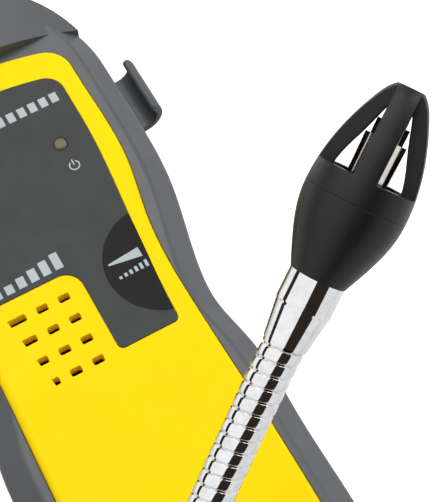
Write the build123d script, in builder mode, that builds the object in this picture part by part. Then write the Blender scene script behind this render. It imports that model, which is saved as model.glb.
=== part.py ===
from build123d import *

import math
import os

# Handheld combustible gas detector with a flexible sensor arm, lying on its back.
# Millimetres. +X is to the right of the front, +Y runs to the arm end, +Z out of the front.
# The origin lies on the back face, on its centre line.

# Housing
LENGTH = 203.0
HEAD_END_Y = 108.5
HEAD_RADIUS = 40.3
HEAD_SIDE_Y = 45.0
CHEEK_HALF = 39.0
CHEEK_Y = 26.2
NECK_HALF = 33.7
NECK_Y = 2.0
WAIST_HALF = 32.6
WAIST_Y = -10.5
GRIP_HALF = 34.9
GRIP_Y = -24.0
HEEL_HALF = 35.2
HEEL_Y = -45.0
FOOT_HALF = 35.6
FOOT_RISE = 17.5
FOOT_CORNER = 13.0
SPLIT_Z = 24.0
SHOULDER_Z = 38.5
FACE_Z = 45.0
BORDER_RUN = 6.3
SHOULDER_ROUND = 3.0
FACE_ROUND = 1.5
CEILING_Z = 37.0
WALL = 2.4
BACK_ROUND = 5.0
CLEARANCE = 0.15

# Raised hood at the arm end
HOOD_TOP_Z = 50.5
HOOD_STEP_Y = 80.0
HOOD_ROUND = 9.0
HOOD_CROWN_RADIUS = 84.0

# Yellow front panel and the window it sits in
PANEL_TOP_Y = 78.6
PANEL_TOP_RADIUS = 98.0
PANEL_HEAD_HALF = 30.7
PANEL_HEAD_WIDEST = 31.1
PANEL_CHEEK_HALF = 30.4
PANEL_NECK_HALF = 27.1
PANEL_WAIST_HALF = 25.9
PANEL_FOOT_HALF = 27.0
PANEL_SHOULDER_Y = 66.0
PANEL_WIDEST_Y = 47.0
PANEL_CHEEK_Y = 33.8
PANEL_NECK_Y = 16.5
PANEL_WAIST_Y = -14.0
PANEL_FOOT_GAP = 10.5
PANEL_CORNER = 8.0
PANEL_TOP_Z = 46.4
PANEL_THICK = 3.2
PANEL_ROUND = 1.6
LEDGE = 2.2

# Control label, let into the panel
LABEL_TOP_Y = 69.2
LABEL_HEAD_HALF = 25.4
LABEL_NECK_HALF = 23.2
LABEL_NECK_Y = 22.0
LABEL_FOOT_HALF = 20.3
LABEL_LEFT_HALF = 22.0
LABEL_FOOT_CORNER = 1.5
LABEL_BOTTOM_Y = -13.4
LABEL_THICK = 0.5
LABEL_PROUD = 0.1
LABEL_CORNER = 5.5
TONGUE_RIGHT_X = 3.8
TONGUE_TOP_Y = 11.7
TONGUE_CORNER = 5.0

# Speaker slots
SLOT_COLUMNS = 3
SLOT_ROWS = 4
SLOT_COLUMN_PITCH = 6.0
SLOT_ROW_PITCH = 6.3
SLOT_CENTRE = (-8.1, -3.7)
SLOT_SIZE = (3.0, 2.0)
SLOT_ROUND = 0.5
SLOT_REACH = 3.6
SLOT_SLANT = ((-17.3, 7.0), (-13.9, -15.0))
SPEAKER_RADIUS = 14.5
SPEAKER_RIM = 2.4
SPEAKER_DEPTH = 4.8
MAGNET_RADIUS = 8.0

# Lamps
LAMP_X = 16.8
LAMP_Y = 46.0
LAMP_RADIUS = 1.9
LAMP_FLANGE = 2.6
LAMP_TOP_Z = 47.0
LAMP_DOME = 0.8
LAMP_FLANGE_THICK = 1.3
LAMP_GAP = 0.12
LAMP_LEAD = 0.3

# Circuit board
BOARD_HALF = 27.0
BOARD_BOTTOM_Y = -1.6
BOARD_TOP_Y = 72.0
BOARD_Z = 34.0
BOARD_THICK = 1.6
POST_RADIUS = 2.6
BOARD_POSTS = ((-22.0, 2.0), (-22.0, 64.0), (22.0, 64.0), (20.0, 30.0))
BOARD_SCREW = 1.0
BOARD_SCREW_HEAD = 2.0
BOARD_SCREW_LENGTH = 8.0

# Parts on the board
CHIP_SIDE = 10.0
CHIP_PLACES = ((-9.0, 30.0), (9.0, 30.0))
CHIP_HEIGHT = 1.6
CAPACITOR_RADIUS = 3.2
CAPACITOR_PLACES = ((-12.0, 56.0), (0.0, 56.0), (12.0, 56.0))
CAPACITOR_HEIGHT = 5.0
PLUG_SIZE = (12.0, 5.0)
PLUG_Y = 16.0
PLUG_HEIGHT = 3.0

# Thumbwheel and its rotary control
WHEEL_RADIUS = 11.0
WHEEL_THICK = 4.4
WHEEL_Y = 4.0
WHEEL_PROUD = 1.7
WHEEL_TEETH = 30
WHEEL_NOTCH = 0.8
WHEEL_GAP = 0.5
SHAFT_RADIUS = 3.0
CONTROL_SIDE = 12.0
CONTROL_DEPTH = 6.6
SHAFT_FIT = 0.06

# Cells and their bay
CELL_RADIUS = 13.1
CELL_LENGTH = 48.8
CELL_NUB = 1.2
CELL_NUB_RADIUS = 4.6
CELL_COUNT = 3
CELL_PITCH = 26.8
CONTACT_THICK = 0.5
CONTACT_SIZE = (14.0, 12.0)
RIB_THICK = 1.6
RIB_HEIGHT = 20.0
CELL_END_GAP = 0.5
CELL_SIDE_GAP = 0.02
CELL_EDGE = 0.8
CELL_FLOOR_GAP = 0.3

# Battery door
DOOR_STEP = 2.4
DOOR_PLATE = 2.2
DOOR_LIFT = 0.3
TONGUE_REACH = 1.2
TONGUE_THICK = 1.8
DOOR_GAP = 0.12
GRIP_GROOVES = 5
GROOVE_PITCH = 2.4
GROOVE_DEPTH = 0.6

# Housing screws
HEAD_SCREWS = ((-24.0, 79.0), (24.0, 79.0), (-24.0, -5.8))
FOOT_SCREW_X = 29.6
FOOT_SCREW_RISE = 15.5
SCREW_SHANK = 1.4
SCREW_HEAD = 2.7
SCREW_HEAD_HEIGHT = 2.2
SCREW_FIT = 0.06
SCREW_BITE = 9.0
BOSS_RADIUS = 3.9
SCREW_SEAT_Z = 5.0

# Side clip that the arm snaps into
CLIP_X = 44.4
CLIP_Y = 62.7
CLIP_Z = 25.5
CLIP_LENGTH = 18.5
CLIP_WALL = 2.3
CLIP_FIT = 0.1
CLIP_LIP_ANGLE = 40.0
CLIP_END_ROUND = 0.7

# Flexible arm
ARM_LENGTH = 457.0
ARM_RADIUS = 4.0
ARM_GROOVE = 0.45
ARM_RINGS = 11
ARM_RING_SHARE = 0.62
# Each section bends by the first angle, towards a side turned by the second angle.
ARM_BENDS = ((122, 193), (51.5, 4), (11, -16), (7.5, 53.5), (109.5, 10.5), (5.5, 215))
BALL_RADIUS = 2.7
BALL_GAP = 0.06
BALL_NECK = 1.3
BALL_NECK_ROOT = 1.0
SECTION_START = 2.8
SOCKET_LIP = 1.3

# Bush that carries the arm in the end wall
BUSH_RADIUS = 6.5
BUSH_FLANGE = 9.0
BUSH_FLANGE_THICK = 2.5
BUSH_INNER_Y = 95.0
GLAND_RADIUS = 11.0
GLAND_INNER_Y = 100.0
GLAND_OUTER_Y = 112.0
ARM_PIVOT_Y = 117.5
NUT_ACROSS = 16.0
NUT_THICK = 3.0

# Ferrule and sensor tip
FERRULE_LENGTH = 13.4
FERRULE_CONE = 7.1
FERRULE_RADIUS = 5.3
TIP_LENGTH = 36.8
TIP_SEAM = 15.0
TIP_LIP_RADIUS = 5.35
TIP_BELLY = 5.0
TIP_BELLY_RADIUS = 7.45
TIP_RADIUS = 9.67
TIP_SHOULDER = 27.0
TIP_SHOULDER_RADIUS = 7.7
TIP_CROWN = 33.0
TIP_CROWN_RADIUS = 5.3
TIP_TOP_RADIUS = 2.6
TIP_MOUTH = 1.6
CAP_WALL = 3.0
CAP_SPIGOT = 7.4
CAP_OVERLAP = 3.5
CAP_FIT = 0.08
CAP_LIFT = 0.05
RIB_COUNT = 4
RIB_WIDTH = 4.4
RIB_TURN = -14.0
WINDOW_START = 19.5
WELL_RADIUS = 4.95
WELL_START = 7.5
SOCKET_THICK = 3.0
PIN_COUNT = 3
PIN_CIRCLE = 2.6
PIN_RADIUS = 0.5
CAN_RADIUS = 3.95
CAN_START = 13.0
CAN_TOP = 27.0
CAN_STEP_RADIUS = 3.1
CAN_STEP_TOP = 30.0
SCREEN_RADIUS = 2.5
SCREEN_THICK = 1.0

os.makedirs("parts", exist_ok=True)


def save(builder, name):
    """Label a finished piece and write it."""
    builder.part.label = name
    export_step(builder.part, f"parts/{name}.step")


def housing_outline(inset=0.0):
    """Plan of the housing, moved in by an inset: round head, waist and wider grip."""
    head_y = HEAD_END_Y - HEAD_RADIUS
    head = HEAD_RADIUS - inset
    diagonal = head * math.sin(math.pi / 4)
    foot = FOOT_HALF - inset
    widest_y = foot_y + FOOT_RISE
    end_y = foot_y + inset
    with BuildSketch() as sketch:
        with BuildLine():
            ThreePointArc((0, head_y + head), (diagonal, head_y + diagonal), (head, head_y))
            Spline((head, head_y), (head, HEAD_SIDE_Y), (CHEEK_HALF - inset, CHEEK_Y),
                   (NECK_HALF - inset, NECK_Y), (WAIST_HALF - inset, WAIST_Y), (GRIP_HALF - inset, GRIP_Y),
                   (HEEL_HALF - inset, HEEL_Y), (foot, widest_y), tangents=((0, -1), (0, -1)))
            Polyline((foot, widest_y), (foot, end_y), (0, end_y), (0, head_y + head))
        make_face()
        corner = sketch.vertices().group_by(Axis.Y)[0].sort_by(Axis.X)[-1]
        fillet(corner, FOOT_CORNER - inset)
        mirror(about=Plane.YZ)
    return sketch.sketch


def panel_outline(grow=0.0):
    """Plan of the yellow panel: arched top, wide head and narrower grip."""
    head = PANEL_HEAD_HALF + grow
    neck = PANEL_NECK_HALF + grow
    foot = PANEL_FOOT_HALF + grow
    arch = PANEL_TOP_RADIUS + grow
    top_y = PANEL_TOP_Y + grow
    bottom_y = foot_y + PANEL_FOOT_GAP - grow
    widest_y = foot_y + FOOT_RISE + PANEL_CORNER
    side_y = top_y - arch + math.sqrt(arch**2 - head**2)
    with BuildSketch() as sketch:
        with BuildLine():
            RadiusArc((0, top_y), (head, side_y), arch)
            Line((head, side_y), (head, PANEL_SHOULDER_Y))
            Spline((head, PANEL_SHOULDER_Y), (PANEL_HEAD_WIDEST + grow, PANEL_WIDEST_Y),
                   (PANEL_CHEEK_HALF + grow, PANEL_CHEEK_Y), (neck, PANEL_NECK_Y),
                   (PANEL_WAIST_HALF + grow, PANEL_WAIST_Y), (foot, widest_y), tangents=((0, -1), (0, -1)))
            Polyline((foot, widest_y), (foot, bottom_y), (0, bottom_y), (0, top_y))
        make_face()
        corners = [sketch.vertices().sort_by_distance(point)[0]
                   for point in ((head, side_y), (foot, bottom_y))]
        fillet(corners, PANEL_CORNER + grow)
        mirror(about=Plane.YZ)
    return sketch.sketch


def label_outline(grow=0.0):
    """Plan of the control label, with its foot at the right of the speaker."""
    head = LABEL_HEAD_HALF + grow
    neck = LABEL_NECK_HALF + grow
    foot = LABEL_FOOT_HALF + grow
    left = LABEL_LEFT_HALF + grow
    top_y = LABEL_TOP_Y + grow
    bottom_y = LABEL_BOTTOM_Y - grow
    tongue_x = TONGUE_RIGHT_X - grow
    tongue_y = TONGUE_TOP_Y - grow
    arch = PANEL_TOP_RADIUS
    side_y = top_y - arch + math.sqrt(arch**2 - head**2)
    with BuildSketch() as sketch:
        with BuildLine():
            RadiusArc((-head, side_y), (head, side_y), arch)
            Line((head, side_y), (head, LAMP_Y + LABEL_CORNER))
            Spline((head, LAMP_Y + LABEL_CORNER), (neck, LABEL_NECK_Y), (foot, bottom_y),
                   tangents=((0, -1), (-0.03, -1)))
            Polyline((foot, bottom_y), (tongue_x, bottom_y), (tongue_x, tongue_y), (-left, tongue_y))
            Spline((-left, tongue_y), (-neck, LABEL_NECK_Y), (-head, LAMP_Y + LABEL_CORNER),
                   tangents=((-0.1, 1), (0, 1)))
            Line((-head, LAMP_Y + LABEL_CORNER), (-head, side_y))
        make_face()
        for points, radius in ((((-head, side_y), (head, side_y)), LABEL_CORNER + grow),
                               (((tongue_x, tongue_y),), TONGUE_CORNER - grow),
                               (((tongue_x, bottom_y), (foot, bottom_y)), LABEL_FOOT_CORNER + grow),
                               (((-left, tongue_y),), LABEL_FOOT_CORNER + grow)):
            corners = [sketch.vertices().sort_by_distance(point)[0] for point in points]
            fillet(corners, radius)
    return sketch.sketch


# Places that several pieces share
foot_y = HEAD_END_Y - LENGTH
full_plan = housing_outline()
cavity_plan = housing_outline(WALL)
end_wall_y = foot_y + WALL
foot_screw_y = foot_y + FOOT_SCREW_RISE
screw_places = HEAD_SCREWS + ((-FOOT_SCREW_X, foot_screw_y), (FOOT_SCREW_X, foot_screw_y))
wheel_x = NECK_HALF + WHEEL_PROUD - WHEEL_RADIUS
wheel_z = SPLIT_Z - WHEEL_THICK / 2
panel_z = PANEL_TOP_Z - PANEL_THICK
board_top_z = BOARD_Z + BOARD_THICK
rib_x = (CELL_LENGTH + CELL_NUB) / 2 + CELL_SIDE_GAP + CONTACT_THICK
tongue_half = rib_x - DOOR_GAP
door_half = tongue_half - DOOR_STEP
cell_first_y = end_wall_y + CELL_END_GAP + CELL_RADIUS
cell_last_y = cell_first_y + (CELL_COUNT - 1) * CELL_PITCH
bay_top_y = cell_last_y + CELL_RADIUS + CELL_END_GAP + RIB_THICK / 2
tongue_z = DOOR_LIFT + DOOR_PLATE
door_top_z = tongue_z + TONGUE_THICK
cell_z = door_top_z + CELL_FLOOR_GAP + CELL_RADIUS
plate_end_y = bay_top_y - RIB_THICK / 2
tongue_end_y = bay_top_y + TONGUE_REACH

# Whole rear form, used for the shell and for the door's rounded end
with BuildPart() as rear_form:
    with BuildSketch():
        add(full_plan)
    extrude(amount=SPLIT_Z)
    fillet(rear_form.faces().sort_by(Axis.Z)[0].edges(), BACK_ROUND)

# Side clip: an open trough on the wall, a little narrower at its mouth than the arm
trough = ARM_RADIUS + CLIP_FIT
clip_outer = trough + CLIP_WALL
lip_angle = math.radians(CLIP_LIP_ANGLE)


def clip_point(radius, angle):
    """Point round the trough's axis, as X and Z."""
    return (CLIP_X + radius * math.cos(angle), CLIP_Z + radius * math.sin(angle))


with BuildPart() as side_clip:
    with BuildSketch(Plane.XZ.offset(CLIP_LENGTH / 2 - CLIP_Y)):
        with BuildLine():
            root_x = HEAD_RADIUS - WALL / 2
            wall_point = clip_point(trough, math.pi + math.asin((CLIP_Z - SPLIT_Z) / trough))
            Polyline(clip_point(clip_outer, -math.pi / 2), (root_x, CLIP_Z - clip_outer),
                     (root_x, SPLIT_Z), wall_point)
            ThreePointArc(wall_point, clip_point(trough, -math.pi / 2), clip_point(trough, lip_angle))
            lip_middle = trough + CLIP_WALL / 2
            ThreePointArc(clip_point(trough, lip_angle),
                          clip_point(lip_middle, lip_angle + CLIP_WALL / 2 / lip_middle),
                          clip_point(clip_outer, lip_angle))
            ThreePointArc(clip_point(clip_outer, lip_angle), clip_point(clip_outer, 0),
                          clip_point(clip_outer, -math.pi / 2))
        make_face()
    extrude(amount=-CLIP_LENGTH)
    ends = [edge for edge in side_clip.edges() if edge.center().X > CLIP_X
            and abs(abs(edge.center().Y - CLIP_Y) - CLIP_LENGTH / 2) < 0.01
            and (edge.center() - Vector(CLIP_X, edge.center().Y, CLIP_Z)).length > trough + CLIP_WALL / 4]
    fillet(ends, CLIP_END_ROUND)

# Rear shell: tray with battery bay, posts, bosses, arm gland, wheel slot and side clip
with BuildPart() as rear_shell:
    add(rear_form.part)
    with BuildSketch(Plane.XY.offset(WALL)):
        add(cavity_plan)
    extrude(amount=SPLIT_Z, mode=Mode.SUBTRACT)
    # Side walls and head wall of the battery bay
    with BuildSketch(Plane.XY.offset(WALL)):
        for side in (-1, 1):
            with Locations((side * (rib_x + RIB_THICK / 2), (end_wall_y + bay_top_y) / 2)):
                Rectangle(RIB_THICK, bay_top_y - end_wall_y + 1)
        with Locations((0, bay_top_y)):
            Rectangle(2 * WAIST_HALF - WALL, RIB_THICK)
    extrude(amount=RIB_HEIGHT - WALL)
    # Screw bosses and board posts
    with BuildSketch(Plane.XY.offset(WALL)):
        with Locations(*screw_places):
            Circle(BOSS_RADIUS)
        add(cavity_plan, mode=Mode.INTERSECT)
    extrude(amount=SPLIT_Z - WALL)
    with BuildSketch(Plane.XY.offset(WALL)):
        with Locations(*BOARD_POSTS):
            Circle(POST_RADIUS)
    extrude(amount=BOARD_Z - WALL)
    with Locations(*[(x, y, BOARD_Z) for x, y in BOARD_POSTS]):
        Cylinder(BOARD_SCREW + SCREW_FIT, BOARD_SCREW_LENGTH, mode=Mode.SUBTRACT,
                 align=(Align.CENTER, Align.CENTER, Align.MAX))
    # Lower half of the arm gland
    with BuildSketch(Plane.XZ.offset(-GLAND_INNER_Y)):
        with Locations((0, SPLIT_Z)):
            Circle(GLAND_RADIUS)
            Rectangle(2 * GLAND_RADIUS, GLAND_RADIUS, align=(Align.CENTER, Align.MIN),
                      mode=Mode.SUBTRACT)
    extrude(amount=-(GLAND_OUTER_Y - GLAND_INNER_Y))
    with BuildSketch(Plane.XZ.offset(-BUSH_INNER_Y)):
        with Locations((0, SPLIT_Z)):
            Circle(BUSH_RADIUS + CLEARANCE)
    extrude(amount=-(GLAND_OUTER_Y - BUSH_INNER_Y), mode=Mode.SUBTRACT)
    # Battery door opening with its slide grooves
    with BuildSketch():
        with Locations((0, plate_end_y + DOOR_GAP)):
            Rectangle(2 * (door_half + DOOR_GAP), LENGTH, align=(Align.CENTER, Align.MAX))
    extrude(amount=WALL, mode=Mode.SUBTRACT)
    with BuildSketch(Plane.XY.offset(WALL)):
        with Locations((0, tongue_end_y + DOOR_GAP)):
            Rectangle(2 * rib_x, LENGTH, align=(Align.CENTER, Align.MAX))
    extrude(amount=door_top_z + DOOR_GAP - WALL, mode=Mode.SUBTRACT)
    # Slot for the thumbwheel
    with BuildSketch(Plane.XY.offset(wheel_z - WHEEL_GAP)):
        with Locations((wheel_x, WHEEL_Y)):
            Circle(WHEEL_RADIUS + WHEEL_GAP)
    extrude(amount=SPLIT_Z, mode=Mode.SUBTRACT)
    # Screw holes with seats for the heads
    with Locations(*[(x, y, 0) for x, y in screw_places]):
        Cylinder(SCREW_SHANK + 0.2, SPLIT_Z, align=(Align.CENTER, Align.CENTER, Align.MIN),
                 mode=Mode.SUBTRACT)
        Cylinder(SCREW_HEAD + 0.3, SCREW_SEAT_Z, align=(Align.CENTER, Align.CENTER, Align.MIN),
                 mode=Mode.SUBTRACT)
    add(side_clip.part)
save(rear_shell, "rear_shell")

# Hood that rises over the arm end of the front and falls to its sides
with BuildPart() as hood:
    with BuildSketch(Plane.XY.offset(CEILING_Z)):
        add(full_plan)
        with Locations((0, HOOD_STEP_Y)):
            Rectangle(LENGTH, 2 * LENGTH, align=(Align.CENTER, Align.MAX), mode=Mode.SUBTRACT)
    extrude(amount=HOOD_TOP_Z - CEILING_Z)
    rim = hood.faces().sort_by(Axis.Z)[-1].edges()
    fillet([edge for edge in rim if edge.center().Y > HOOD_STEP_Y + 1], HOOD_ROUND)
    with BuildSketch(Plane.XZ.offset(-HOOD_STEP_Y)):
        with Locations((0, HOOD_TOP_Z - HOOD_CROWN_RADIUS)):
            Circle(HOOD_CROWN_RADIUS)
    extrude(amount=HOOD_STEP_Y - HEAD_END_Y, mode=Mode.INTERSECT)

# Front shell: sloped border round the window, hood and upper half of the gland
with BuildPart() as front_shell:
    with BuildSketch(Plane.XY.offset(SPLIT_Z)):
        add(full_plan)
    extrude(amount=SHOULDER_Z - SPLIT_Z)
    with BuildSketch(Plane.XY.offset(SHOULDER_Z)):
        add(full_plan)
    with BuildSketch(Plane.XY.offset(FACE_Z)):
        add(housing_outline(BORDER_RUN))
    loft()
    for edge_z, edge_round in ((SHOULDER_Z, SHOULDER_ROUND), (FACE_Z, FACE_ROUND)):
        rim = [edge for edge in front_shell.edges() if abs(edge.center().Z - edge_z) < 0.1]
        fillet(rim, edge_round)
    add(hood.part)
    with BuildSketch(Plane.XY.offset(SPLIT_Z)):
        add(cavity_plan)
    extrude(amount=CEILING_Z - SPLIT_Z, mode=Mode.SUBTRACT)
    # Screw bosses
    with BuildSketch(Plane.XY.offset(SPLIT_Z)):
        with Locations(*screw_places):
            Circle(BOSS_RADIUS)
        add(cavity_plan, mode=Mode.INTERSECT)
    extrude(amount=CEILING_Z - SPLIT_Z)
    with Locations(*[(x, y, SPLIT_Z) for x, y in screw_places]):
        Cylinder(SCREW_SHANK + SCREW_FIT, SCREW_BITE + 1, mode=Mode.SUBTRACT,
                 align=(Align.CENTER, Align.CENTER, Align.MIN))
    # Upper half of the arm gland
    with BuildSketch(Plane.XZ.offset(-GLAND_INNER_Y)):
        with Locations((0, SPLIT_Z)):
            Circle(GLAND_RADIUS)
            Rectangle(2 * GLAND_RADIUS, GLAND_RADIUS, align=(Align.CENTER, Align.MAX),
                      mode=Mode.SUBTRACT)
    extrude(amount=-(GLAND_OUTER_Y - GLAND_INNER_Y))
    with BuildSketch(Plane.XZ.offset(-BUSH_INNER_Y)):
        with Locations((0, SPLIT_Z)):
            Circle(BUSH_RADIUS + CLEARANCE)
    extrude(amount=-(GLAND_OUTER_Y - BUSH_INNER_Y), mode=Mode.SUBTRACT)
    # Window with the ledge that carries the panel
    with BuildSketch(Plane.XY.offset(CEILING_Z)):
        add(panel_outline(-LEDGE))
    extrude(amount=PANEL_TOP_Z - CEILING_Z, mode=Mode.SUBTRACT)
    with BuildSketch(Plane.XY.offset(panel_z)):
        add(panel_outline(CLEARANCE))
    extrude(amount=PANEL_THICK, mode=Mode.SUBTRACT)
    # Slot for the thumbwheel
    with BuildSketch(Plane.XY.offset(SPLIT_Z)):
        with Locations((wheel_x, WHEEL_Y)):
            Circle(WHEEL_RADIUS + WHEEL_GAP)
    extrude(amount=WHEEL_THICK / 2 + WHEEL_GAP, mode=Mode.SUBTRACT)
save(front_shell, "front_shell")

# Yellow panel with rounded rim, label recess, lamp holes and speaker slots
with BuildPart() as front_panel:
    with BuildSketch(Plane.XY.offset(panel_z)):
        add(panel_outline())
    extrude(amount=PANEL_THICK)
    fillet(front_panel.faces().sort_by(Axis.Z)[-1].edges(), PANEL_ROUND)
    with BuildSketch(Plane.XY.offset(PANEL_TOP_Z - LABEL_THICK + LABEL_PROUD)):
        add(label_outline(CLEARANCE))
    extrude(amount=LABEL_THICK, mode=Mode.SUBTRACT)
    with BuildSketch(Plane.XY.offset(panel_z)):
        with Locations(SLOT_CENTRE):
            with GridLocations(SLOT_COLUMN_PITCH, SLOT_ROW_PITCH, SLOT_COLUMNS, SLOT_ROWS):
                RectangleRounded(*SLOT_SIZE, SLOT_ROUND)
        first_x = SLOT_CENTRE[0] - SLOT_COLUMN_PITCH * (SLOT_COLUMNS - 1) / 2
        with Locations((first_x - SLOT_REACH / 2, SLOT_CENTRE[1])):
            with GridLocations(1, SLOT_ROW_PITCH, 1, SLOT_ROWS):
                RectangleRounded(SLOT_SIZE[0] + SLOT_REACH, SLOT_SIZE[1], SLOT_ROUND)
        with BuildLine():
            (top_x, top_y), (low_x, low_y) = SLOT_SLANT
            Polyline((top_x, top_y), (low_x, low_y), (low_x - PANEL_NECK_HALF, low_y),
                     (low_x - PANEL_NECK_HALF, top_y), close=True)
        make_face(mode=Mode.SUBTRACT)
    extrude(amount=PANEL_THICK, mode=Mode.SUBTRACT)
    with BuildSketch(Plane.XY.offset(panel_z)):
        with Locations((-LAMP_X, LAMP_Y), (LAMP_X, LAMP_Y)):
            Circle(LAMP_RADIUS + LAMP_GAP)
    extrude(amount=PANEL_THICK, mode=Mode.SUBTRACT)
save(front_panel, "front_panel")

# Control label
with BuildPart() as control_label:
    with BuildSketch(Plane.XY.offset(PANEL_TOP_Z - LABEL_THICK + LABEL_PROUD)):
        add(label_outline())
        with Locations((-LAMP_X, LAMP_Y), (LAMP_X, LAMP_Y)):
            Circle(LAMP_RADIUS + LAMP_GAP, mode=Mode.SUBTRACT)
    extrude(amount=LABEL_THICK)
save(control_label, "control_label")

# Power lamp and leak lamp: domed lens, flange under the panel and two leads
for name, lamp_x in (("power_lamp", LAMP_X), ("leak_lamp", -LAMP_X)):
    flange_z = panel_z - LAMP_GAP - LAMP_FLANGE_THICK
    with BuildPart() as lamp:
        with BuildSketch(Plane.XY.offset(flange_z)):
            with Locations((lamp_x, LAMP_Y)):
                Circle(LAMP_FLANGE)
        extrude(amount=LAMP_FLANGE_THICK)
        with BuildSketch(Plane.XY.offset(flange_z)):
            with Locations((lamp_x, LAMP_Y)):
                Circle(LAMP_RADIUS)
        extrude(amount=LAMP_TOP_Z - flange_z)
        fillet(lamp.faces().sort_by(Axis.Z)[-1].edges(), LAMP_DOME)
        with BuildSketch(Plane.XY.offset(board_top_z)):
            with Locations((lamp_x - 3 * LAMP_LEAD, LAMP_Y), (lamp_x + 3 * LAMP_LEAD, LAMP_Y)):
                Circle(LAMP_LEAD)
        extrude(amount=flange_z - board_top_z)
    save(lamp, name)

# Spacer tubes that hold the lamps at their height
with BuildPart() as lamp_posts:
    with BuildSketch(Plane.XY.offset(board_top_z)):
        with Locations((-LAMP_X, LAMP_Y), (LAMP_X, LAMP_Y)):
            Circle(LAMP_FLANGE)
            Circle(LAMP_RADIUS - 0.3, mode=Mode.SUBTRACT)
    extrude(amount=flange_z - board_top_z)
save(lamp_posts, "lamp_posts")

# Circuit board on four posts
with BuildPart() as circuit_board:
    with BuildSketch(Plane.XY.offset(BOARD_Z)):
        with Locations((0, (BOARD_BOTTOM_Y + BOARD_TOP_Y) / 2)):
            RectangleRounded(2 * BOARD_HALF, BOARD_TOP_Y - BOARD_BOTTOM_Y, 4.0)
        with Locations(*BOARD_POSTS):
            Circle(BOARD_SCREW + SCREW_FIT, mode=Mode.SUBTRACT)
    extrude(amount=BOARD_THICK)
save(circuit_board, "circuit_board")

# Chips and other parts on the board
with BuildPart() as board_parts:
    with BuildSketch(Plane.XY.offset(board_top_z)):
        with Locations(*CHIP_PLACES):
            Rectangle(CHIP_SIDE, CHIP_SIDE)
    extrude(amount=CHIP_HEIGHT)
    with BuildSketch(Plane.XY.offset(board_top_z)):
        with Locations(*CAPACITOR_PLACES):
            Circle(CAPACITOR_RADIUS)
    extrude(amount=CAPACITOR_HEIGHT)
    with BuildSketch(Plane.XY.offset(board_top_z)):
        with Locations((0, PLUG_Y)):
            Rectangle(*PLUG_SIZE)
    extrude(amount=PLUG_HEIGHT)
save(board_parts, "board_parts")

# Screws that hold the board on its posts
with BuildPart() as board_screws:
    with Locations(*[(x, y, board_top_z) for x, y in BOARD_POSTS]):
        Cylinder(BOARD_SCREW, BOARD_SCREW_LENGTH, align=(Align.CENTER, Align.CENTER, Align.MAX))
        Cylinder(BOARD_SCREW_HEAD, 1.4, align=(Align.CENTER, Align.CENTER, Align.MIN))
save(board_screws, "board_screws")

# Rotary control under the board
control_z = BOARD_Z - CONTROL_DEPTH
bore_depth = 4.0
with BuildPart() as rotary_control:
    with BuildSketch(Plane.XY.offset(control_z)):
        with Locations((wheel_x, WHEEL_Y)):
            RectangleRounded(CONTROL_SIDE, CONTROL_SIDE, 1.5)
    extrude(amount=CONTROL_DEPTH)
    with BuildSketch(Plane.XY.offset(control_z)):
        with Locations((wheel_x, WHEEL_Y)):
            Circle(SHAFT_RADIUS + SHAFT_FIT)
    extrude(amount=bore_depth, mode=Mode.SUBTRACT)
save(rotary_control, "rotary_control")

# Shaft of the control, on which the wheel is pressed
with BuildPart() as control_shaft:
    with BuildSketch(Plane.XY.offset(wheel_z)):
        with Locations((wheel_x, WHEEL_Y)):
            Circle(SHAFT_RADIUS)
    extrude(amount=control_z + bore_depth - 0.3 - wheel_z)
    chamfer(control_shaft.faces().sort_by(Axis.Z)[0].edges(), 0.4)
save(control_shaft, "control_shaft")

# Thumbwheel with a notched rim
with BuildPart() as thumbwheel:
    with BuildSketch(Plane.XY.offset(wheel_z)):
        with Locations((wheel_x, WHEEL_Y)):
            Circle(WHEEL_RADIUS)
            Circle(SHAFT_RADIUS, mode=Mode.SUBTRACT)
            with PolarLocations(WHEEL_RADIUS, WHEEL_TEETH):
                Rectangle(WHEEL_NOTCH, WHEEL_NOTCH, rotation=45, mode=Mode.SUBTRACT)
    extrude(amount=WHEEL_THICK)
save(thumbwheel, "thumbwheel")

# Speaker under the slots: rim against the panel, cone recess and magnet
with BuildPart() as speaker:
    speaker_x, speaker_y = SLOT_CENTRE
    rim_z = panel_z - SPEAKER_RIM
    with BuildSketch(Plane.XZ.offset(-speaker_y)):
        with BuildLine():
            Polyline((speaker_x, rim_z), (speaker_x + MAGNET_RADIUS * 0.5, rim_z),
                     (speaker_x + SPEAKER_RADIUS - 1.6, panel_z - 0.4),
                     (speaker_x + SPEAKER_RADIUS - 1.6, panel_z), (speaker_x + SPEAKER_RADIUS, panel_z),
                     (speaker_x + SPEAKER_RADIUS, rim_z), (speaker_x + MAGNET_RADIUS, rim_z - 2.0),
                     (speaker_x + MAGNET_RADIUS, panel_z - SPEAKER_DEPTH - 2.0),
                     (speaker_x, panel_z - SPEAKER_DEPTH - 2.0), close=True)
        make_face()
    revolve(axis=Axis((speaker_x, speaker_y, 0), (0, 0, 1)))
save(speaker, "speaker")

# Three cells across the grip, turned about in turn
contact_x = rib_x - CONTACT_THICK
for index in range(CELL_COUNT):
    cell_y = cell_first_y + index * CELL_PITCH
    way = -1 if index % 2 else 1
    base_x = -way * (CELL_LENGTH + CELL_NUB) / 2
    with BuildPart() as cell:
        with BuildSketch(Plane.XZ.offset(-cell_y)):
            with BuildLine():
                Polyline((base_x, cell_z), (base_x, cell_z + CELL_RADIUS - CELL_EDGE),
                         (base_x + way * CELL_EDGE, cell_z + CELL_RADIUS),
                         (base_x + way * (CELL_LENGTH - CELL_EDGE), cell_z + CELL_RADIUS),
                         (base_x + way * CELL_LENGTH, cell_z + CELL_RADIUS - CELL_EDGE),
                         (base_x + way * CELL_LENGTH, cell_z + CELL_NUB_RADIUS),
                         (base_x + way * (CELL_LENGTH + CELL_NUB), cell_z + CELL_NUB_RADIUS),
                         (base_x + way * (CELL_LENGTH + CELL_NUB), cell_z), close=True)
            make_face()
        revolve(axis=Axis((0, cell_y, cell_z), (1, 0, 0)))
    save(cell, f"battery_cell_{index + 1}")

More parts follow.
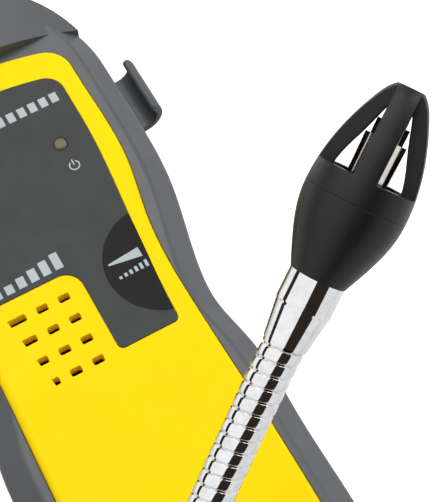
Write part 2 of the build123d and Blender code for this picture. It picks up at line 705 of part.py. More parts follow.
# Contact plates against the side walls of the bay
for name, inner_x in (("left_contacts", -rib_x), ("right_contacts", contact_x)):
    with BuildPart() as contacts:
        with Locations(*[(inner_x, cell_first_y + index * CELL_PITCH, cell_z)
                         for index in range(CELL_COUNT)]):
            Box(CONTACT_THICK, CONTACT_SIZE[0], CONTACT_SIZE[1],
                align=(Align.MIN, Align.CENTER, Align.CENTER))
    save(contacts, name)

# Battery door: plate flush with the back, tongue in the grooves, grip grooves
with BuildPart() as battery_door:
    with BuildSketch(Plane.XY.offset(DOOR_LIFT)):
        with Locations((0, plate_end_y)):
            Rectangle(2 * door_half, LENGTH, align=(Align.CENTER, Align.MAX))
    extrude(amount=DOOR_PLATE)
    with BuildSketch(Plane.XY.offset(tongue_z)):
        with Locations((0, tongue_end_y)):
            Rectangle(2 * tongue_half, LENGTH, align=(Align.CENTER, Align.MAX))
    extrude(amount=TONGUE_THICK)
    add(rear_form.part, mode=Mode.INTERSECT)
    with BuildSketch(Plane.XY.offset(DOOR_LIFT)):
        with Locations((0, plate_end_y - GRIP_GROOVES * GROOVE_PITCH)):
            with GridLocations(1, GROOVE_PITCH, 1, GRIP_GROOVES):
                Rectangle(door_half, GROOVE_PITCH / 2)
    extrude(amount=GROOVE_DEPTH, mode=Mode.SUBTRACT)
save(battery_door, "battery_door")

# Screws that hold the shells together, heads sunk in the back
with BuildPart() as housing_screws:
    with Locations(*[(x, y, SCREW_SEAT_Z) for x, y in screw_places]):
        Cylinder(SCREW_SHANK, SPLIT_Z - SCREW_SEAT_Z + SCREW_BITE,
                 align=(Align.CENTER, Align.CENTER, Align.MIN))
        Cylinder(SCREW_HEAD, SCREW_HEAD_HEIGHT, align=(Align.CENTER, Align.CENTER, Align.MAX))
        with Locations((0, 0, -SCREW_HEAD_HEIGHT)):
            Box(2 * SCREW_HEAD - 1.6, 0.7, 1.0, mode=Mode.SUBTRACT)
            Box(0.7, 2 * SCREW_HEAD - 1.6, 1.0, mode=Mode.SUBTRACT)
save(housing_screws, "housing_screws")

# Bush in the end wall, with the socket of the arm's first bend
with BuildPart() as arm_bush:
    with BuildSketch(Plane.XY.offset(SPLIT_Z)):
        with BuildLine():
            lip_y = ARM_PIVOT_Y + SOCKET_LIP
            Polyline((0, BUSH_INNER_Y), (BUSH_RADIUS, BUSH_INNER_Y), (BUSH_RADIUS, GLAND_OUTER_Y),
                     (BUSH_FLANGE, GLAND_OUTER_Y), (BUSH_FLANGE, GLAND_OUTER_Y + BUSH_FLANGE_THICK - 0.6),
                     (BUSH_FLANGE - 0.6, GLAND_OUTER_Y + BUSH_FLANGE_THICK),
                     (BUSH_RADIUS, GLAND_OUTER_Y + BUSH_FLANGE_THICK), (ARM_RADIUS, lip_y),
                     (0, lip_y), close=True)
        make_face()
    revolve(axis=Axis((0, 0, SPLIT_Z), (0, 1, 0)))
    with Locations((0, ARM_PIVOT_Y, SPLIT_Z)):
        Sphere(BALL_RADIUS + BALL_GAP, mode=Mode.SUBTRACT)
save(arm_bush, "arm_bush")

# Hexagon nut inside the end wall
with BuildPart() as bush_nut:
    with BuildSketch(Plane.XZ.offset(-GLAND_INNER_Y)):
        with Locations((0, SPLIT_Z)):
            RegularPolygon(NUT_ACROSS / 2, 6, major_radius=False)
            Circle(BUSH_RADIUS, mode=Mode.SUBTRACT)
    extrude(amount=NUT_THICK)
save(bush_nut, "bush_nut")

# Flexible arm: six sections, each a bent ringed tube with a ball at its start.
# A section's plane stands at its start, with z along the arm and x to the side it bends to.
section_length = ARM_LENGTH / len(ARM_BENDS)
start = Plane(origin=(0, ARM_PIVOT_Y, SPLIT_Z), x_dir=(1, 0, 0), z_dir=(0, 1, 0))
for index, (bend, side) in enumerate(ARM_BENDS):
    turn = math.radians(side)
    bend_way = start.x_dir * math.cos(turn) + start.y_dir * math.sin(turn)
    start = Plane(origin=start.origin, x_dir=bend_way, z_dir=start.z_dir)
    bend_radius = section_length / math.radians(bend)

    def along(distance):
        """Plane across the arm at a distance from the section's start."""
        angle = distance / bend_radius
        offset_x = bend_radius * (1 - math.cos(angle))
        offset_z = bend_radius * math.sin(angle)
        x_way = start.x_dir * math.cos(angle) - start.z_dir * math.sin(angle)
        z_way = start.x_dir * math.sin(angle) + start.z_dir * math.cos(angle)
        centre = start.origin + start.x_dir * offset_x + start.z_dir * offset_z
        return Plane(origin=centre, x_dir=x_way, z_dir=z_way)

    end = along(section_length)
    last = index == len(ARM_BENDS) - 1
    ring_step = (section_length - SECTION_START) / ARM_RINGS
    rings = [along(SECTION_START + (count + 0.5) * ring_step) for count in range(ARM_RINGS)]
    stations = [along(SECTION_START)] + rings
    with BuildPart() as section:
        for near, far in zip(stations, stations[1:]):
            step = far.origin - near.origin
            with BuildSketch(Plane(origin=near.origin, z_dir=step)):
                Circle(ARM_RADIUS - ARM_GROOVE)
            extrude(amount=step.length)
        for ring in rings:
            with BuildSketch(ring):
                Circle(ARM_RADIUS)
            extrude(amount=ring_step * ARM_RING_SHARE / 2, both=True)
        with BuildSketch(end):
            Circle(ARM_RADIUS - ARM_GROOVE)
        extrude(amount=-ring_step / 2)
        if not last:
            with BuildSketch(end):
                Circle(ARM_RADIUS - ARM_GROOVE)
            extrude(amount=SOCKET_LIP)
            with Locations(end.location):
                Sphere(BALL_RADIUS + BALL_GAP, mode=Mode.SUBTRACT)
        with BuildSketch(start):
            Circle(BALL_NECK)
        extrude(amount=SECTION_START + BALL_NECK_ROOT)
        with Locations(start.location):
            Sphere(BALL_RADIUS)
    save(section, f"arm_section_{index + 1}")
    start = end

# The ferrule and the sensor tip stand on a plane at the arm's end, z along the arm.
turn = math.radians(RIB_TURN)
rib_way = start.x_dir * math.cos(turn) + start.y_dir * math.sin(turn)
tip = Plane(origin=start.origin, x_dir=rib_way, z_dir=start.z_dir)
tip_axis = Axis(tip.origin, tip.z_dir)
tip_side = Plane(origin=tip.origin, x_dir=tip.x_dir, z_dir=-tip.y_dir)
lip = FERRULE_LENGTH


def tip_section(*points):
    """Closed outline of radius and height pairs in the plane beside the tip's axis."""
    with BuildSketch(tip_side) as sketch:
        with BuildLine():
            Polyline(*points, close=True)
        make_face()
    return sketch.sketch


# Ferrule: cone on the arm, then a slightly tapered barrel
with BuildPart() as ferrule:
    revolve(tip_section((0, 0), (ARM_RADIUS + 0.2, 0), (FERRULE_RADIUS - 0.15, FERRULE_CONE),
                        (FERRULE_RADIUS, FERRULE_CONE + 0.5), (FERRULE_RADIUS, lip), (0, lip)), axis=tip_axis)
save(ferrule, "ferrule")

# Sensor base: egg-shaped lower half with a well for the sensor and a spigot for the cap
seam = lip + TIP_SEAM
with BuildPart() as sensor_base:
    with BuildSketch(tip_side):
        with BuildLine():
            Spline((TIP_LIP_RADIUS, lip), (TIP_BELLY_RADIUS, lip + TIP_BELLY), (TIP_RADIUS, seam),
                   tangents=((0.45, 1), (0, 1)))
            Polyline((TIP_RADIUS, seam), (CAP_SPIGOT, seam), (CAP_SPIGOT, seam + CAP_OVERLAP),
                     (WELL_RADIUS, seam + CAP_OVERLAP), (WELL_RADIUS, lip + WELL_START),
                     (0, lip + WELL_START), (0, lip), (TIP_LIP_RADIUS, lip))
        make_face()
    revolve(axis=tip_axis)
save(sensor_base, "sensor_base")

# Plug-in socket at the bottom of the well
socket_top = lip + WELL_START + SOCKET_THICK
with BuildPart() as sensor_socket:
    revolve(tip_section((0, lip + WELL_START), (WELL_RADIUS - 0.1, lip + WELL_START),
                        (WELL_RADIUS - 0.1, socket_top), (0, socket_top)), axis=tip_axis)
save(sensor_socket, "sensor_socket")

# Three pins between the socket and the sensor
with BuildPart() as sensor_pins:
    with BuildSketch(tip.offset(socket_top)):
        with PolarLocations(PIN_CIRCLE, PIN_COUNT):
            Circle(PIN_RADIUS)
    extrude(amount=lip + CAN_START - socket_top)
save(sensor_pins, "sensor_pins")

# Metal can of the sensor, with a rim at its foot and a step at its top
can_foot = lip + CAN_START
with BuildPart() as sensor_can:
    revolve(tip_section((0, can_foot), (CAN_RADIUS + 0.7, can_foot), (CAN_RADIUS + 0.7, can_foot + 0.8),
                        (CAN_RADIUS, can_foot + 0.8), (CAN_RADIUS, lip + CAN_TOP),
                        (CAN_STEP_RADIUS, lip + CAN_TOP), (CAN_STEP_RADIUS, lip + CAN_STEP_TOP),
                        (SCREEN_RADIUS, lip + CAN_STEP_TOP), (SCREEN_RADIUS, lip + CAN_STEP_TOP - SCREEN_THICK),
                        (0, lip + CAN_STEP_TOP - SCREEN_THICK)), axis=tip_axis)
save(sensor_can, "sensor_can")

# Porous metal screen set in the can's top
with BuildPart() as sensor_screen:
    revolve(tip_section((0, lip + CAN_STEP_TOP - SCREEN_THICK), (SCREEN_RADIUS, lip + CAN_STEP_TOP - SCREEN_THICK),
                        (SCREEN_RADIUS, lip + CAN_STEP_TOP - 0.2), (0, lip + CAN_STEP_TOP - 0.2)), axis=tip_axis)
save(sensor_screen, "sensor_screen")

# Sensor cap: upper half of the egg with four ribs between open windows
with BuildPart() as sensor_cap:
    with BuildSketch(tip_side):
        with BuildLine():
            Spline((TIP_RADIUS, seam + CAP_LIFT), (TIP_SHOULDER_RADIUS, lip + TIP_SHOULDER),
                   (TIP_CROWN_RADIUS, lip + TIP_CROWN), (TIP_TOP_RADIUS, lip + TIP_LENGTH),
                   tangents=((0, 1), (-1, 0.75)))
            Line((TIP_TOP_RADIUS, lip + TIP_LENGTH), (TIP_MOUTH, lip + TIP_LENGTH))
            Spline((TIP_MOUTH, lip + TIP_LENGTH), (TIP_SHOULDER_RADIUS - CAP_WALL, lip + TIP_SHOULDER),
                   (CAP_SPIGOT - 0.4, seam + CAP_OVERLAP + 0.2), tangents=((0.5, -1), (0.1, -1)))
            Polyline((CAP_SPIGOT - 0.4, seam + CAP_OVERLAP + 0.2),
                     (CAP_SPIGOT + CAP_FIT, seam + CAP_OVERLAP + 0.2),
                     (CAP_SPIGOT + CAP_FIT, seam + CAP_LIFT), (TIP_RADIUS, seam + CAP_LIFT))
        make_face()
    revolve(axis=tip_axis)
    with BuildSketch(tip.offset(lip + WINDOW_START)):
        Circle(TIP_RADIUS + 1)
        for rib in range(RIB_COUNT):
            Rectangle(2 * TIP_RADIUS, RIB_WIDTH, rotation=rib * 360 / RIB_COUNT,
                      mode=Mode.SUBTRACT)
    extrude(amount=TIP_LENGTH - WINDOW_START + 1, mode=Mode.SUBTRACT)
save(sensor_cap, "sensor_cap")
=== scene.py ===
import math

import bpy
from mathutils import Matrix, Vector


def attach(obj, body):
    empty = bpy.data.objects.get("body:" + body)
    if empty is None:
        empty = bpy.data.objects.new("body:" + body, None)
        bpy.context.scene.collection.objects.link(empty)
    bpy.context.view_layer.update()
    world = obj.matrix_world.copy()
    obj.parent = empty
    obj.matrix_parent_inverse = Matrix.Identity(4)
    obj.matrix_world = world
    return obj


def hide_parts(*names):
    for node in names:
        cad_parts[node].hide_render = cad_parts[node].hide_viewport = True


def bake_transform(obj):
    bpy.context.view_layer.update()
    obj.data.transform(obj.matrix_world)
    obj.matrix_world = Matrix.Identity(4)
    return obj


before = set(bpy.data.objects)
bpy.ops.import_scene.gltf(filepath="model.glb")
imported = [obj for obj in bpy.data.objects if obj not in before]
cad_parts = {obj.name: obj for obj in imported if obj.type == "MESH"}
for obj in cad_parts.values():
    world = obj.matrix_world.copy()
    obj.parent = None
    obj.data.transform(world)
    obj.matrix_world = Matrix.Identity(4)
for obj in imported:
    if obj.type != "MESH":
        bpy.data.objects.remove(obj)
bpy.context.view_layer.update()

# Metres, in the frame of the part: +X right, +Y to the arm end, +Z out of the front.
MM = 0.001

# Camera, as worked out from the photograph
CAMERA_PLACE = Vector((-33.5, -127.3, 342.4)) * MM
CAMERA_AZIMUTH = -29.3
CAMERA_ELEVATION = 64.0
CAMERA_LENS = 93.2

# Label and its prints
LABEL_TOP_Z = 46.5 * MM
PRINT_THICK = 0.06 * MM
LENS_CENTRE = (24.6, 4.1)
LENS_RADIUS = 15.0
LABEL_NECK_HALF = 23.2
LABEL_NECK_Y = 22.0
LABEL_FOOT_HALF = 20.3
LABEL_BOTTOM_Y = -13.4

# Flexible arm, with the bends of the part's sections
ARM_LENGTH = 457.0 * MM
ARM_PIVOT = Vector((0.0, 117.5, 24.0)) * MM
ARM_BENDS = ((122, 193), (51.5, 4), (11, -16), (7.5, 53.5), (109.5, 10.5), (5.5, 215))
ARM_RADIUS = 4.0 * MM
COIL_PITCH = 2.56 * MM
COIL_COLUMNS = 56
# One turn of the coil: share of the pitch and depth below the crown
COIL_PROFILE = ((0.00, 0.44), (0.03, 0.14), (0.08, 0.04), (0.16, 0.00), (0.34, 0.00), (0.56, 0.02),
                (0.74, 0.06), (0.85, 0.12), (0.90, 0.20), (0.93, 0.44))
SECTIONS = len(ARM_BENDS)
SECTION_LENGTH = ARM_LENGTH / SECTIONS


# Materials

def new_material(name):
    """A node material with its tree and its Principled shader."""
    material = bpy.data.materials.new(name)
    material.use_nodes = True
    tree = material.node_tree
    return material, tree, tree.nodes["Principled BSDF"]


def node(tree, kind, **values):
    """A node with its settings and its input values, each given by name."""
    made = tree.nodes.new(kind)
    for key, value in values.items():
        if key in made.inputs:
            made.inputs[key].default_value = value
        else:
            setattr(made, key, value)
    return made


def noise(tree, size, detail=3.0, roughness=0.5):
    """Noise in the object's own space with features of about this size in metres."""
    place = node(tree, "ShaderNodeTexCoord")
    made = node(tree, "ShaderNodeTexNoise", Scale=1.0 / size, Detail=detail, Roughness=roughness)
    tree.links.new(place.outputs["Object"], made.inputs["Vector"])
    return made.outputs["Fac"]


def spread(tree, value, low, high):
    """Maps a value of about 0.3 to 0.7 onto a range."""
    made = node(tree, "ShaderNodeMapRange")
    made.inputs["From Min"].default_value = 0.3
    made.inputs["From Max"].default_value = 0.7
    made.inputs["To Min"].default_value = low
    made.inputs["To Max"].default_value = high
    tree.links.new(value, made.inputs["Value"])
    return made.outputs["Result"]


def blend_colours(tree, fac, dark, light):
    """A colour between two, by a value."""
    made = node(tree, "ShaderNodeMix", data_type="RGBA")
    made.inputs[6].default_value = (*dark, 1.0)
    made.inputs[7].default_value = (*light, 1.0)
    tree.links.new(fac, made.inputs[0])
    return made.outputs[2]


def moulded(name, colour, roughness=0.5, grain=0.25 * MM, depth=0.02 * MM, edge=0.25 * MM,
            specular=0.4, variation=0.06):
    """Moulded plastic: fine grain, soft edges, uneven gloss and slightly cloudy colour."""
    material, tree, shader = new_material(name)
    cloud = noise(tree, 14.0 * MM, 2.0)
    dark = tuple(channel * (1.0 - variation) for channel in colour)
    light = tuple(min(1.0, channel * (1.0 + variation)) for channel in colour)
    shade = blend_colours(tree, spread(tree, cloud, 0.0, 1.0), dark, light)
    tree.links.new(shade, shader.inputs["Base Color"])
    gloss = spread(tree, noise(tree, 5.0 * MM), roughness - 0.04, roughness + 0.06)
    tree.links.new(gloss, shader.inputs["Roughness"])
    shader.inputs["Specular IOR Level"].default_value = specular
    corner = node(tree, "ShaderNodeBevel", samples=4, Radius=edge)
    bump = node(tree, "ShaderNodeBump", Strength=1.0, Distance=depth)
    tree.links.new(noise(tree, grain, 4.0, 0.6), bump.inputs["Height"])
    tree.links.new(corner.outputs["Normal"], bump.inputs["Normal"])
    tree.links.new(bump.outputs["Normal"], shader.inputs["Normal"])
    return material


def metal(name, colour, roughness, wear=0.03, brushed=None):
    """Plated or brushed metal with faint wear in its gloss and colour."""
    material, tree, shader = new_material(name)
    shader.inputs["Metallic"].default_value = 1.0
    dull = tuple(channel * 0.86 for channel in colour)
    shade = blend_colours(tree, spread(tree, noise(tree, 2.0 * MM), 0.0, 1.0), colour, dull)
    tree.links.new(shade, shader.inputs["Base Color"])
    gloss = spread(tree, noise(tree, 1.2 * MM), roughness, roughness + wear)
    tree.links.new(gloss, shader.inputs["Roughness"])
    bump = node(tree, "ShaderNodeBump", Strength=0.4, Distance=0.004 * MM)
    tree.links.new(noise(tree, brushed or 0.4 * MM), bump.inputs["Height"])
    tree.links.new(bump.outputs["Normal"], shader.inputs["Normal"])
    return material


rear_grey = moulded("rear_grey", (0.076, 0.080, 0.086), roughness=0.46)
border_grey = moulded("border_grey", (0.086, 0.091, 0.098), roughness=0.42)
yellow = moulded("yellow", (1.0, 0.685, 0.0), roughness=0.55, grain=0.4 * MM, depth=0.008 * MM,
                 specular=0.06, variation=0.015)
label_grey = moulded("label_grey", (0.037, 0.042, 0.041), roughness=0.6, grain=0.12 * MM,
                     depth=0.006 * MM, edge=0.1 * MM, specular=0.25)
lens_black = moulded("lens_black", (0.006, 0.006, 0.0057), roughness=0.6, grain=0.12 * MM,
                     depth=0.004 * MM, edge=0.03 * MM, specular=0.2)
print_grey = moulded("print_grey", (0.42, 0.47, 0.49), roughness=0.6, grain=0.1 * MM,
                     depth=0.004 * MM, edge=0.03 * MM, specular=0.2)
tip_black = moulded("tip_black", (0.006, 0.006, 0.0065), roughness=0.38, grain=0.3 * MM,
                    depth=0.04 * MM, edge=0.3 * MM, specular=0.36)
inner_black = moulded("inner_black", (0.012, 0.012, 0.012), roughness=0.5)
board_green = moulded("board_green", (0.015, 0.09, 0.035), roughness=0.35, grain=0.8 * MM)
cell_jacket = moulded("cell_jacket", (0.42, 0.43, 0.45), roughness=0.3, grain=2.0 * MM)
chrome = metal("chrome", (0.86, 0.86, 0.87), 0.05)
nickel = metal("nickel", (0.88, 0.84, 0.75), 0.12, brushed=0.15 * MM)
steel = metal("steel", (0.55, 0.55, 0.56), 0.28, wear=0.1)
sinter = metal("sinter", (0.42, 0.41, 0.38), 0.5, brushed=0.12 * MM)


def lamp_material():
    """Unlit tinted lens: clear olive resin, painted lighter and warmer where it faces the viewer and darker
    towards its rim, a painted shade of the dome.
    """
    material, tree, shader = new_material("lamp_lens")
    facing = node(tree, "ShaderNodeLayerWeight", Blend=0.4)
    # Painted shade: the colour runs from the light middle to the dark rim by how the surface faces the
    # viewer.
    shade = blend_colours(tree, facing.outputs["Facing"], (0.15, 0.135, 0.075), (0.06, 0.058, 0.035))
    tree.links.new(shade, shader.inputs["Base Color"])
    shader.inputs["Roughness"].default_value = 0.12
    shader.inputs["Subsurface Weight"].default_value = 0.3
    shader.inputs["Subsurface Radius"].default_value = (1.0 * MM, 0.8 * MM, 0.3 * MM)
    bump = node(tree, "ShaderNodeBump", Strength=0.3, Distance=0.01 * MM)
    tree.links.new(noise(tree, 0.5 * MM), bump.inputs["Height"])
    tree.links.new(bump.outputs["Normal"], shader.inputs["Normal"])
    return material


lamp_lens = lamp_material()

NODE_MATERIALS = {
    rear_grey: ("rear_shell", "battery_door"),
    border_grey: ("front_shell",),
    yellow: ("front_panel",),
    label_grey: ("control_label",),
    lamp_lens: ("power_lamp", "leak_lamp"),
    tip_black: ("sensor_base", "sensor_cap"),
    inner_black: ("thumbwheel", "rotary_control", "lamp_posts", "speaker", "board_parts",
                  "sensor_socket"),
    board_green: ("circuit_board",),
    cell_jacket: ("battery_cell_1", "battery_cell_2", "battery_cell_3"),
    chrome: ("ferrule", "arm_bush", "bush_nut"),
    nickel: ("sensor_can", "sensor_pins"),
    sinter: ("sensor_screen",),
    steel: ("left_contacts", "right_contacts", "board_screws", "housing_screws",
            "control_shaft"),
}
for material, names in NODE_MATERIALS.items():
    for name in names:
        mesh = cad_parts[name].data
        mesh.materials.clear()
        mesh.materials.append(material)


def add_piece(name, vertices, faces, material, body=None, smooth=False):
    """A new piece in the row frame, riding on a body when one is given."""
    mesh = bpy.data.meshes.new(name)
    mesh.from_pydata([tuple(v) for v in vertices], [], faces)
    mesh.validate()
    mesh.update()
    mesh.materials.append(material)
    for polygon in mesh.polygons:
        polygon.use_smooth = smooth
    piece = bpy.data.objects.new(name, mesh)
    bpy.context.scene.collection.objects.link(piece)
    if body:
        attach(piece, body)
    return piece


# Flexible arm

def arm_starts():
    """Origin, side way and forward way at the start of each section, and at the arm's end."""
    origin = ARM_PIVOT.copy()
    side = Vector((1, 0, 0))
    forward = Vector((0, 1, 0))
    starts = []
    for bend, turned in ARM_BENDS:
        side = Matrix.Rotation(math.radians(turned), 3, forward) @ side
        starts.append((origin, side, forward))
        origin, side, forward = along_arc(origin, side, forward, bend, SECTION_LENGTH)
    starts.append((origin, side, forward))
    return starts


def along_arc(origin, side, forward, bend, distance):
    """Frame at a distance along an arc that bends towards its side way."""
    radius = SECTION_LENGTH / math.radians(bend)
    angle = distance / radius
    place = origin + side * radius * (1 - math.cos(angle)) + forward * radius * math.sin(angle)
    new_side = side * math.cos(angle) - forward * math.sin(angle)
    new_forward = side * math.sin(angle) + forward * math.cos(angle)
    return place, new_side, new_forward


STARTS = arm_starts()


def arm_frame(distance):
    """Frame at a distance along the whole arm; before its first pivot and past its end it runs straight."""
    index = min(max(int(distance // SECTION_LENGTH), 0), SECTIONS - 1)
    if distance < 0 or distance > ARM_LENGTH:
        origin, side, forward = STARTS[0 if distance < 0 else -1]
        past = distance if distance < 0 else distance - ARM_LENGTH
        return origin + forward * past, side, forward
    origin, side, forward = STARTS[index]
    return along_arc(origin, side, forward, ARM_BENDS[index][0], distance - index * SECTION_LENGTH)


def roll_free_frames(low, high):
    """Frames along the arm whose side way never spins, so the coil runs on from piece to piece."""
    step = COIL_PITCH / 4
    count = int(math.ceil((high - low) / step)) + 1
    frames = []
    side = Vector((1, 0, 0))
    for index in range(count):
        distance = low + index * step
        place, _, forward = arm_frame(distance)
        side = (side - forward * side.dot(forward)).normalized()
        frames.append((place, side.copy(), forward))
    return frames, step


COIL_LOW = -3.0 * MM
COIL_HIGH = ARM_LENGTH + 2.0 * MM
COIL_FRAMES, COIL_STEP = roll_free_frames(COIL_LOW - COIL_PITCH, COIL_HIGH + 2 * COIL_PITCH)


def coil_point(distance, angle, radius):
    """Point on the coil at a distance along the arm and an angle round it."""
    position = (distance - COIL_LOW + COIL_PITCH) / COIL_STEP
    index = min(int(position), len(COIL_FRAMES) - 2)
    share = position - index
    near, far = COIL_FRAMES[index], COIL_FRAMES[index + 1]
    place = near[0].lerp(far[0], share)
    forward = near[2].lerp(far[2], share).normalized()
    side = near[1].lerp(far[1], share)
    side = (side - forward * side.dot(forward)).normalized()
    other = forward.cross(side)
    return place + (side * math.cos(angle) + other * math.sin(angle)) * radius


def add_coil(name, low, high):
    """A stretch of the wound coil. Its rows climb one pitch a turn, so its lines are one helix."""
    first = int(round((low - COIL_LOW) / COIL_PITCH))
    last = int(round((high - COIL_LOW) / COIL_PITCH))
    per_turn = len(COIL_PROFILE)
    row_count = (last - first) * per_turn + 1

    def row_point(row, climb):
        """Point on a row, a share of a turn from its start."""
        turn, place = divmod(row, per_turn)
        share, depth = COIL_PROFILE[place]
        distance = COIL_LOW + (first + turn + share + climb - 0.5) * COIL_PITCH
        return coil_point(distance, 2 * math.pi * climb, ARM_RADIUS - depth * MM)

    vertices = [row_point(row, column / COIL_COLUMNS)
                for row in range(row_count) for column in range(COIL_COLUMNS)]
    # A row ends where the row one turn on starts. The last turn's rows get an end of their own.
    own_ends = len(vertices)
    vertices += [row_point(row, 1.0) for row in range(row_count - per_turn, row_count)]
    faces = []
    for row in range(row_count - 1):
        here = row * COIL_COLUMNS
        for column in range(COIL_COLUMNS - 1):
            corner = here + column
            faces.append((corner, corner + 1, corner + COIL_COLUMNS + 1, corner + COIL_COLUMNS))
        ends = [(after + per_turn) * COIL_COLUMNS if after + per_turn < row_count
                else own_ends + after + per_turn - row_count for after in (row, row + 1)]
        faces.append((here + COIL_COLUMNS - 1, ends[0], ends[1], here + 2 * COIL_COLUMNS - 1))
    return add_piece(name, vertices, faces, chrome, smooth=True)


BODIES = ["housing"] + [f"arm_{index + 1}" for index in range(SECTIONS)]
for index in range(SECTIONS + 1):
    low = COIL_LOW if index == 0 else (index - 0.5) * SECTION_LENGTH
    high = COIL_HIGH if index == SECTIONS else (index + 0.5) * SECTION_LENGTH
    coil = add_coil(f"arm_coil_{index + 1}", low, high)
    if index < SECTIONS:
        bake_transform(coil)
        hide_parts(f"arm_section_{index + 1}")
    else:
        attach(coil, BODIES[index])


# Prints on the label

def add_prints(name, outlines, material, lift=0.0):
    """Thin raised prints on the label from outlines in millimetres."""
    vertices, faces = [], []
    low_z, high_z = LABEL_TOP_Z + lift - PRINT_THICK, LABEL_TOP_Z + lift + PRINT_THICK
    for outline in outlines:
        base = len(vertices)
        count = len(outline)
        vertices += [(x * MM, y * MM, low_z) for x, y in outline]
        vertices += [(x * MM, y * MM, high_z) for x, y in outline]
        faces.append(tuple(range(base + count, base + 2 * count)))
        faces.append(tuple(reversed(range(base, base + count))))
        for point in range(count):
            after = (point + 1) % count
            faces.append((base + point, base + after, base + count + after, base + count + point))
    return add_piece(name, vertices, faces, material, "housing")


def bar(x, y, width, height):
    """Upright rectangle from its lower left corner."""
    return [(x, y), (x + width, y), (x + width, y + height), (x, y + height)]


def ring(centre, radius, width, start, end, steps=28):
    """Part of a ring between two angles."""
    angles = [math.radians(start + (end - start) * step / steps) for step in range(steps + 1)]
    x, y = centre
    outer = [(x + radius * math.cos(a), y + radius * math.sin(a)) for a in angles]
    inner = [(x + (radius - width) * math.cos(a), y + (radius - width) * math.sin(a))
             for a in reversed(angles)]
    return outer + inner


def label_edge(y):
    """Right edge of the label between its neck and its foot."""
    share = (LABEL_NECK_Y - y) / (LABEL_NECK_Y - LABEL_BOTTOM_Y)
    eased = share * share * (3 - 2 * share) * 0.5 + share * 0.5
    return LABEL_NECK_HALF + (LABEL_FOOT_HALF - LABEL_NECK_HALF) * eased


def lens_outline():
    """Black field: a circle cut off by the label's right edge."""
    x, y = LENS_CENTRE
    arc = [(x + LENS_RADIUS * math.cos(a), y + LENS_RADIUS * math.sin(a))
           for a in (math.radians(80 + 200 * step / 60) for step in range(61))]
    inside = [(px, py) for px, py in arc if px < label_edge(py) - 0.15]
    top, bottom = inside[0][1], inside[-1][1]
    edge = [(label_edge(bottom + (top - bottom) * step / 12) - 0.15,
             bottom + (top - bottom) * step / 12) for step in range(13)]
    return inside + edge


add_prints("label_field", [lens_outline()], lens_black)
scale_bars = [bar(-21.0 + 3.2 * count, 57.6 + 0.06 * count, 2.1, 3.0) for count in range(14)]
power_mark = [ring((17.2, 38.4), 1.5, 0.35, 120, 420), bar(17.02, 38.5, 0.36, 1.8)]
leak_mark = [ring((-16.8, 38.6), 1.5, 0.35, 0, 360), bar(-17.0, 38.0, 0.4, 1.2)]
level_bars = [bar(-17.5 + 3.4 * count, 12.9 + 0.1 * count, 2.2, 2.0 + 0.55 * count)
              for count in range(6)]
wedge = [[(11.6, 7.9), (20.4, 6.4), (20.4, 9.2), (11.6, 8.4)]]
wedge_bars = [bar(12.4 + 1.5 * count, 3.2, 0.8, 0.8 + 0.24 * count) for count in range(6)]
add_prints("label_marks", scale_bars + power_mark + leak_mark + level_bars, print_grey)
add_prints("field_marks", wedge + wedge_bars, print_grey, lift=PRINT_THICK)


# Stage

def add_area(name, place, target, size, power, colour=(1, 1, 1)):
    """Square soft light aimed at a point."""
    light = bpy.data.lights.new(name, "AREA")
    light.shape = "RECTANGLE"
    light.size, light.size_y = size
    light.energy = power
    light.color = colour
    lamp = bpy.data.objects.new(name, light)
    lamp.location = place
    lamp.rotation_mode = "QUATERNION"
    lamp.rotation_quaternion = (Vector(place) - Vector(target)).to_track_quat("Z", "Y")
    bpy.context.scene.collection.objects.link(lamp)
    return lamp


def card_material(name, colour, strength=1.0):
    """Glow of a card that only reflections see."""
    material, tree, shader = new_material(name)
    shader.inputs["Base Color"].default_value = (0.0, 0.0, 0.0, 1.0)
    shader.inputs["Specular IOR Level"].default_value = 0.0
    shader.inputs["Emission Color"].default_value = (*colour, 1.0)
    shader.inputs["Emission Strength"].default_value = strength
    return material


CARD_REACH = (-0.5, 0.5)
CARD_DISTANCE = 0.32


def add_band(name, angles, material):
    """Curved card round the arm's end, between two angles from the camera's side towards its right."""
    origin, _, forward = STARTS[-1]
    near = CAMERA_PLACE - origin
    near = (near - forward * near.dot(forward)).normalized()
    right = near.cross(forward)
    if right.x < 0:
        right = -right
    steps = max(2, int((angles[1] - angles[0]) / 5))
    vertices = []
    for step in range(steps + 1):
        angle = math.radians(angles[0] + (angles[1] - angles[0]) * step / steps)
        out = (near * math.cos(angle) + right * math.sin(angle)) * CARD_DISTANCE
        vertices += [tuple(origin + out + forward * end) for end in CARD_REACH]
    faces = [(2 * step, 2 * step + 1, 2 * step + 3, 2 * step + 2) for step in range(steps)]
    mesh = bpy.data.meshes.new(name)
    mesh.from_pydata(vertices, [], faces)
    mesh.materials.append(material)
    card = bpy.data.objects.new(name, mesh)
    card.visible_camera = False
    card.visible_shadow = False
    card.visible_diffuse = False
    bpy.context.scene.collection.objects.link(card)


def floor_material():
    """Pale floor: white to the camera, with a faint share of the real shading."""
    material, tree, shader = new_material("floor")
    shader.inputs["Base Color"].default_value = (0.8, 0.8, 0.8, 1.0)
    shader.inputs["Roughness"].default_value = 0.8
    shader.inputs["Specular IOR Level"].default_value = 0.0
    shader.inputs["Emission Color"].default_value = (1.0, 1.0, 1.0, 1.0)
    path = node(tree, "ShaderNodeLightPath")
    scale = node(tree, "ShaderNodeMath", operation="MULTIPLY")
    scale.inputs[1].default_value = 0.62
    tree.links.new(path.outputs["Is Camera Ray"], scale.inputs[0])
    tree.links.new(scale.outputs["Value"], shader.inputs["Emission Strength"])
    return material


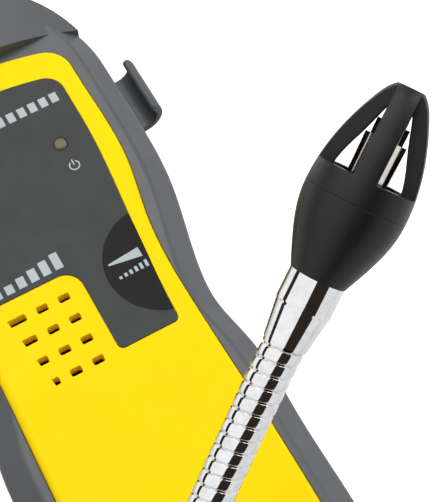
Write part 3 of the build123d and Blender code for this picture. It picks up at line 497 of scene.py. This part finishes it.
floor_mesh = bpy.data.meshes.new("floor")
FLOOR_HALF = 4.0
floor_mesh.from_pydata([(-FLOOR_HALF, -FLOOR_HALF, 0), (FLOOR_HALF, -FLOOR_HALF, 0),
                        (FLOOR_HALF, FLOOR_HALF, 0), (-FLOOR_HALF, FLOOR_HALF, 0)], [], [(0, 1, 2, 3)])
floor_mesh.materials.append(floor_material())
floor = bpy.data.objects.new("floor", floor_mesh)
floor.location.z = -0.0005
bpy.context.scene.collection.objects.link(floor)

world = bpy.data.worlds.new("world")
bpy.context.scene.world = world
world.use_nodes = True
background = world.node_tree.nodes["Background"]
background.inputs["Color"].default_value = (1.0, 1.0, 1.0, 1.0)
background.inputs["Strength"].default_value = 0.45

add_area("key", (0.05, 0.35, 0.8), (0, 0, 0.03), (0.5, 0.5), 4.6)
add_area("side", (0.65, -0.1, 0.45), (0, 0, 0.05), (0.25, 0.7), 1.8)

# What the bright metal mirrors: a pale room with a dark line and a dark band
CARD_WHITE = card_material("card_white", (1.0, 1.0, 1.0), 1.05)
CARD_GREY = card_material("card_grey", (0.93, 0.94, 0.95), 0.90)
CARD_DARK = card_material("card_dark", (0.030, 0.022, 0.016))
CARDS = (("card_left", (-150, -92), CARD_WHITE), ("card_line", (-92, -74), CARD_DARK),
         ("card_middle", (-74, 6), CARD_WHITE), ("card_band", (6, 58), CARD_DARK),
         ("card_right", (58, 150), CARD_GREY))
for card_name, angles, card_glow in CARDS:
    add_band(card_name, angles, card_glow)

back_way = Vector((math.sin(math.radians(CAMERA_AZIMUTH)) * math.cos(math.radians(CAMERA_ELEVATION)),
                   -math.cos(math.radians(CAMERA_AZIMUTH)) * math.cos(math.radians(CAMERA_ELEVATION)),
                   math.sin(math.radians(CAMERA_ELEVATION))))
camera_data = bpy.data.cameras.new("camera")
camera_data.lens = CAMERA_LENS
camera_data.sensor_width = 36.0
camera = bpy.data.objects.new("camera", camera_data)
camera.location = CAMERA_PLACE
camera.rotation_mode = "QUATERNION"
camera.rotation_quaternion = (-back_way).to_track_quat("-Z", "Y")
bpy.context.scene.collection.objects.link(camera)
bpy.context.scene.camera = camera
bpy.context.scene.view_settings.view_transform = "Standard"
